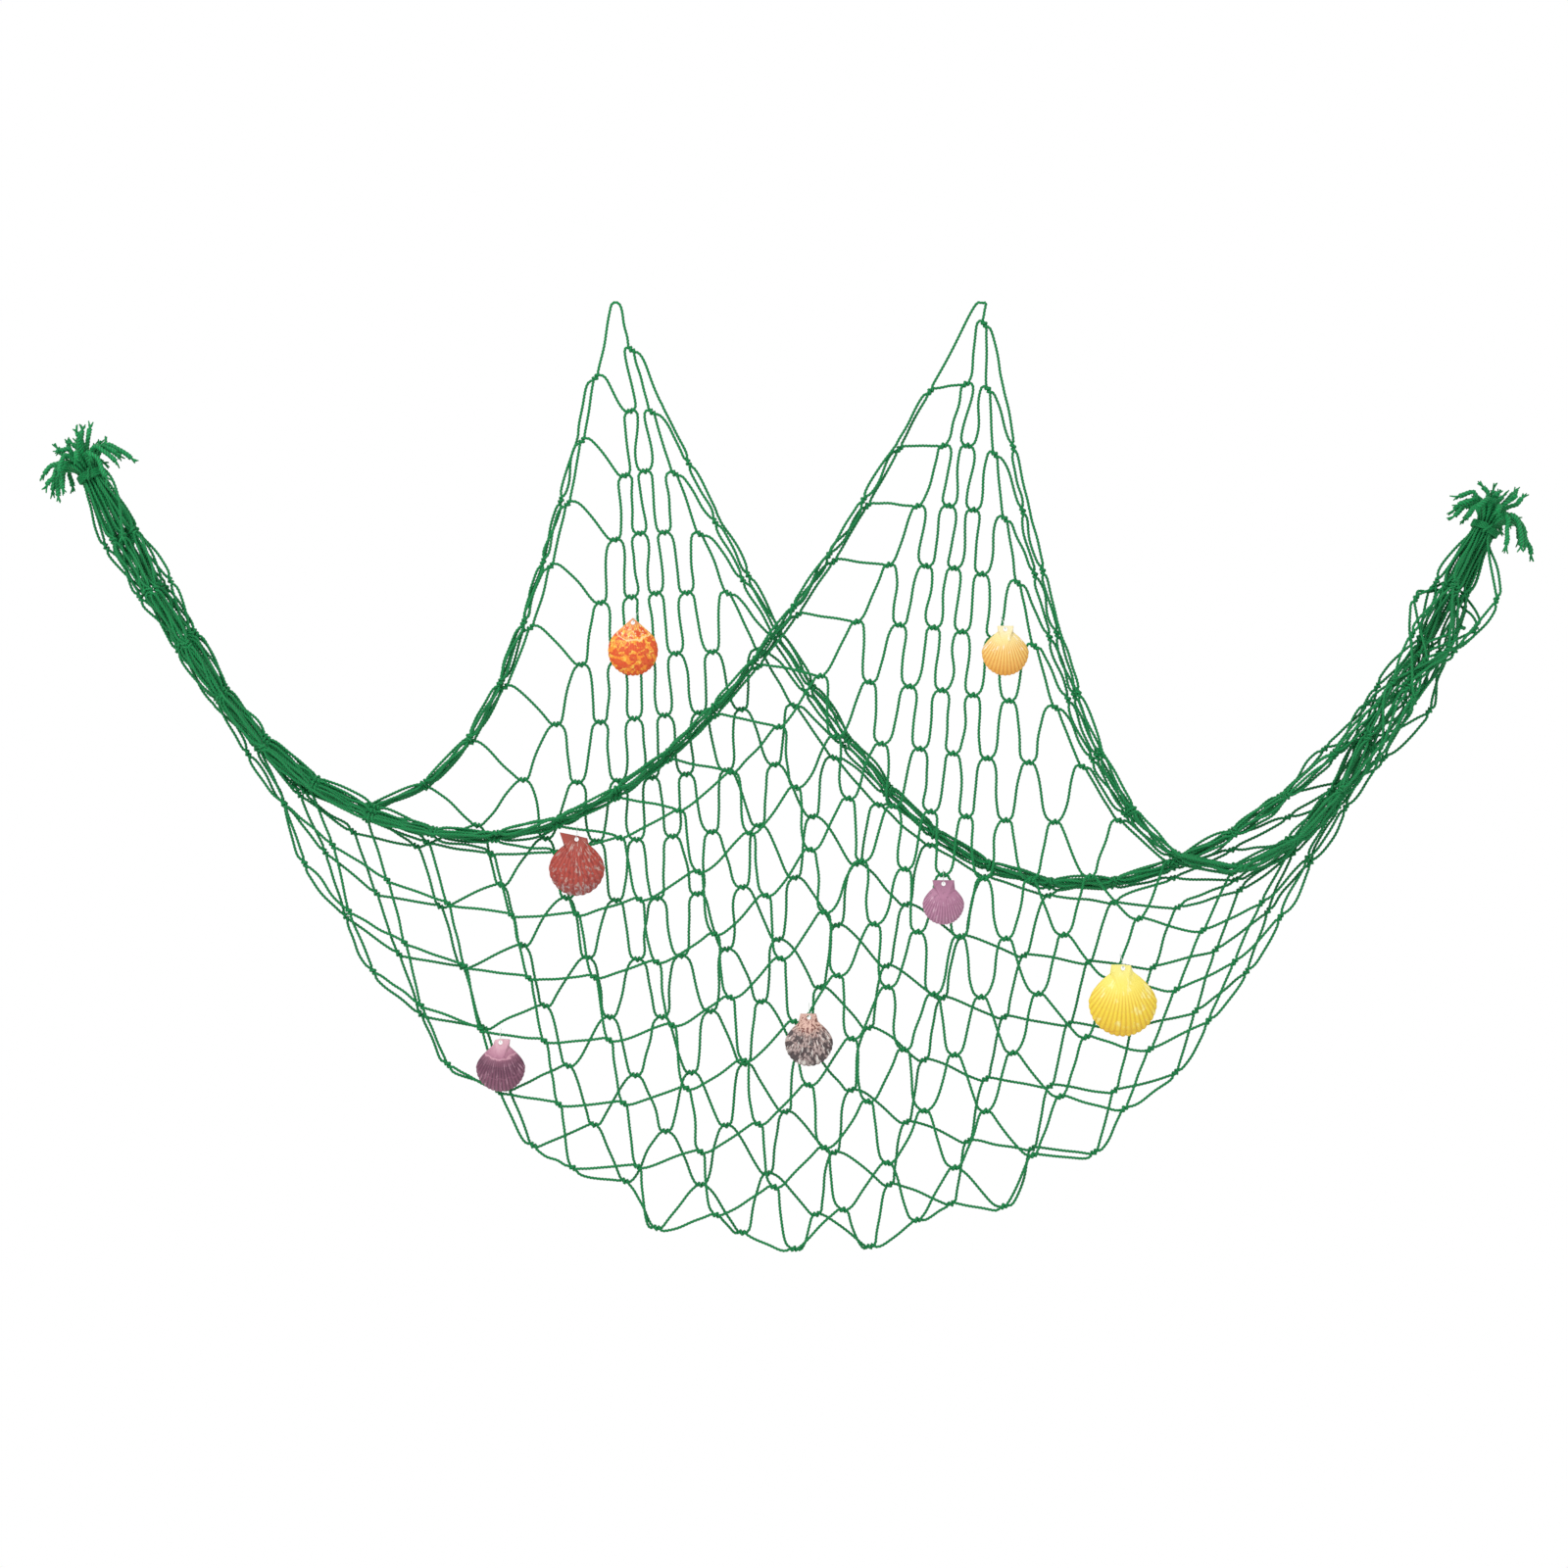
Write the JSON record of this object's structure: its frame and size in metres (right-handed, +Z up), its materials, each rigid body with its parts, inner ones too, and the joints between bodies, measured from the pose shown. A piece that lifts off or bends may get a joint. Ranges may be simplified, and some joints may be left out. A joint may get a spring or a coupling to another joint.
{
  "type": "decorative fishing net",
  "caption": "Decorative green knotted-twine fishing net, folded lengthwise and draped from wall hooks, with drilled scallop shells tied to its front on thin clear ties.",
  "frame": {"origin": "on the wall, midway between the two upper hooks and level with them", "axes": "+Z up, +X to the right as seen from the front, +Y into the wall; the net hangs on the -Y side"},
  "size_m": [1.4114, 0.0587, 0.8963],
  "materials": {
    "green_twine": "matte",
    "clear_line": "gloss",
    "orange_shell": "satin",
    "cream_shell": "satin",
    "red_shell": "satin",
    "mauve_shell": "satin",
    "yellow_shell": "satin",
    "plum_shell": "satin",
    "brown_shell": "satin"
  },
  "bodies": {
    "net": {"row_twine_01": "green_twine", "row_twine_02": "green_twine", "row_twine_03": "green_twine", "row_twine_04": "green_twine", "row_twine_05": "green_twine", "row_twine_06": "green_twine", "row_twine_07": "green_twine", "row_twine_08": "green_twine", "row_twine_09": "green_twine", "row_twine_10": "green_twine", "row_twine_11": "green_twine", "row_twine_12": "green_twine", "row_twine_13": "green_twine", "row_twine_14": "green_twine", "row_twine_15": "green_twine", "row_twine_16": "green_twine", "row_twine_17": "green_twine", "row_twine_18": "green_twine", "row_twine_19": "green_twine", "row_twine_20": "green_twine", "row_twine_21": "green_twine", "row_twine_22": "green_twine", "row_twine_23": "green_twine", "row_twine_24": "green_twine", "row_twine_25": "green_twine", "row_twine_26": "green_twine", "row_twine_27": "green_twine", "row_twine_28": "green_twine", "row_twine_29": "green_twine", "row_twine_30": "green_twine", "row_twine_31": "green_twine", "row_twine_32": "green_twine", "row_twine_33": "green_twine", "row_twine_34": "green_twine", "left_lashing": "green_twine", "right_lashing": "green_twine", "left_lashing_tail": "green_twine"},
    "orange_shell_tie": {"orange_shell_tie": "clear_line"},
    "orange_shell": {"orange_shell": "orange_shell"},
    "cream_shell_tie": {"cream_shell_tie": "clear_line"},
    "cream_shell": {"cream_shell": "cream_shell"},
    "red_shell_tie": {"red_shell_tie": "clear_line"},
    "red_shell": {"red_shell": "red_shell"},
    "mauve_shell_tie": {"mauve_shell_tie": "clear_line"},
    "mauve_shell": {"mauve_shell": "mauve_shell"},
    "yellow_shell_tie": {"yellow_shell_tie": "clear_line"},
    "yellow_shell": {"yellow_shell": "yellow_shell"},
    "plum_shell_tie": {"plum_shell_tie": "clear_line"},
    "plum_shell": {"plum_shell": "plum_shell"},
    "brown_shell_tie": {"brown_shell_tie": "clear_line"},
    "brown_shell": {"brown_shell": "brown_shell"}
  },
  "joints": [
    {"name": "orange_shell_lift", "type": "hinge", "parent": "net", "child": "orange_shell_tie", "pos_m": [-0.15243, -0.01064, -0.29411], "axis": [-0.9004, 0, 0.435], "range_deg": [0, 65]},
    {"name": "orange_shell_swing", "type": "hinge", "parent": "orange_shell_tie", "child": "orange_shell", "pos_m": [-0.15621, -0.01764, -0.30194], "axis": [0, 1, 0], "range_deg": [-35, 35]},
    {"name": "cream_shell_lift", "type": "hinge", "parent": "net", "child": "cream_shell_tie", "pos_m": [0.19138, -0.02402, -0.3005], "axis": [-0.9553, 0, -0.2955], "range_deg": [0, 65]},
    {"name": "cream_shell_swing", "type": "hinge", "parent": "cream_shell_tie", "child": "cream_shell", "pos_m": [0.19395, -0.0313, -0.30881], "axis": [0, 1, 0], "range_deg": [-35, 35]},
    {"name": "red_shell_lift", "type": "hinge", "parent": "net", "child": "red_shell_tie", "pos_m": [-0.20799, -0.03004, -0.49713], "axis": [-1, 0, 0], "range_deg": [0, 65]},
    {"name": "red_shell_swing", "type": "hinge", "parent": "red_shell_tie", "child": "red_shell", "pos_m": [-0.20799, -0.03856, -0.50583], "axis": [0, 1, 0], "range_deg": [-35, 35]},
    {"name": "mauve_shell_lift", "type": "hinge", "parent": "net", "child": "mauve_shell_tie", "pos_m": [0.13585, -0.0253, -0.539], "axis": [-1, 0, 0], "range_deg": [0, 65]},
    {"name": "mauve_shell_swing", "type": "hinge", "parent": "mauve_shell_tie", "child": "mauve_shell", "pos_m": [0.13585, -0.0323, -0.5477], "axis": [0, 1, 0], "range_deg": [-35, 35]},
    {"name": "yellow_shell_lift", "type": "hinge", "parent": "net", "child": "yellow_shell_tie", "pos_m": [0.30268, -0.0285, -0.6181], "axis": [-0.9888, 0, -0.1494], "range_deg": [0, 65]},
    {"name": "yellow_shell_swing", "type": "hinge", "parent": "yellow_shell_tie", "child": "yellow_shell", "pos_m": [0.30398, -0.0355, -0.62671], "axis": [0, 1, 0], "range_deg": [-35, 35]},
    {"name": "plum_shell_lift", "type": "hinge", "parent": "net", "child": "plum_shell_tie", "pos_m": [-0.27999, -0.02323, -0.688], "axis": [-1, 0, 0], "range_deg": [0, 65]},
    {"name": "plum_shell_swing", "type": "hinge", "parent": "plum_shell_tie", "child": "plum_shell", "pos_m": [-0.27999, -0.03023, -0.6967], "axis": [0, 1, 0], "range_deg": [-35, 35]},
    {"name": "brown_shell_lift", "type": "hinge", "parent": "net", "child": "brown_shell_tie", "pos_m": [0.00962, -0.02464, -0.66434], "axis": [-1, 0, 0], "range_deg": [0, 65]},
    {"name": "brown_shell_swing", "type": "hinge", "parent": "brown_shell_tie", "child": "brown_shell", "pos_m": [0.00962, -0.03164, -0.67304], "axis": [0, 1, 0], "range_deg": [-35, 35]}
  ]
}
